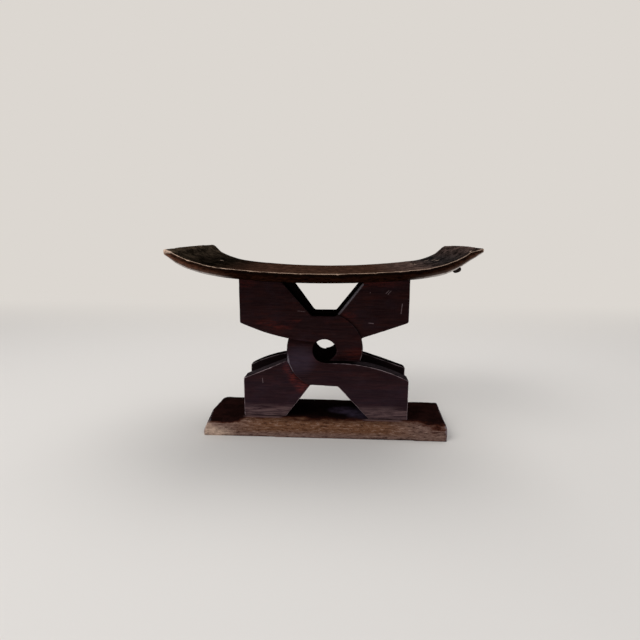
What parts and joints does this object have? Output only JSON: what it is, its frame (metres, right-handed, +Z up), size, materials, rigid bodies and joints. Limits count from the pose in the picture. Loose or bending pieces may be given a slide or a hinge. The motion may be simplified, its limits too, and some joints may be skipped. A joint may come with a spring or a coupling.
{
  "type": "ashanti stool",
  "caption": "Carved wooden stool with a curved seat on two pierced knot boards standing on a flat base.",
  "frame": {"origin": "on the floor, under the middle of the seat", "axes": "+X along the stool to its right as seen from the front, -Y to its front, +Z up"},
  "size_m": [0.569, 0.301, 0.3938],
  "materials": {
    "seat_wood": "dark stained, waxed and worn",
    "panel_wood": "near-black stain, waxed, rubbed at the edges",
    "base_wood": "dark stain worn through to brown",
    "peg_wood": "dark stain",
    "dowel_wood": "bare"
  },
  "bodies": {
    "root": {"seat": "seat_wood", "front_panel": "panel_wood", "rear_panel": "panel_wood", "base": "base_wood", "seat_peg": "peg_wood", "front_seat_dowels": "dowel_wood", "front_base_dowels": "dowel_wood", "rear_seat_dowels": "dowel_wood", "rear_base_dowels": "dowel_wood"}
  },
  "joints": []
}
